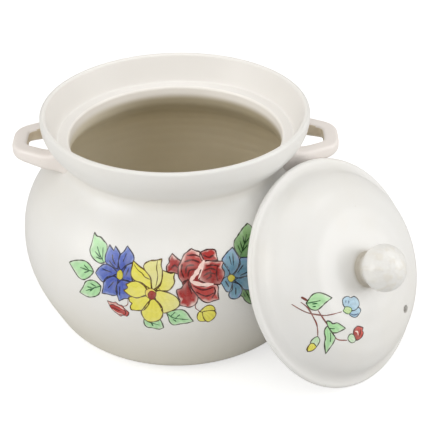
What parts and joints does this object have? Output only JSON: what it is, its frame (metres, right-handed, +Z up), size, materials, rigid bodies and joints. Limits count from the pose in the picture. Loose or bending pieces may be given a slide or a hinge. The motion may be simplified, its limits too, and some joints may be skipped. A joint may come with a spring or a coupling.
{
  "type": "chinese sand pot",
  "caption": "Round-bellied glazed stoneware stew pot with a flared rim and two strap handles, its knobbed domed lid standing against it, painted with a garland of flowers.",
  "frame": {"origin": "centre of the foot's face, on the pot's axis, where it stands on the ground", "axes": "+Z up along the pot's axis; the handles point along +X and -X; the painted front faces -Y"},
  "size_m": [0.3343, 0.2823, 0.1927],
  "materials": {
    "glaze": "gloss"
  },
  "bodies": {
    "pot": {"pot_body": "glaze", "handle_left": "glaze", "handle_right": "glaze"},
    "lid": {"lid": "glaze", "lid_knob": "glaze"}
  },
  "joints": [
    {"name": "lid_lift", "type": "slide", "parent": "pot", "child": "lid", "axis": [0.6334, -0.6116, 0.4741], "range_m": [0, 0.15]}
  ]
}
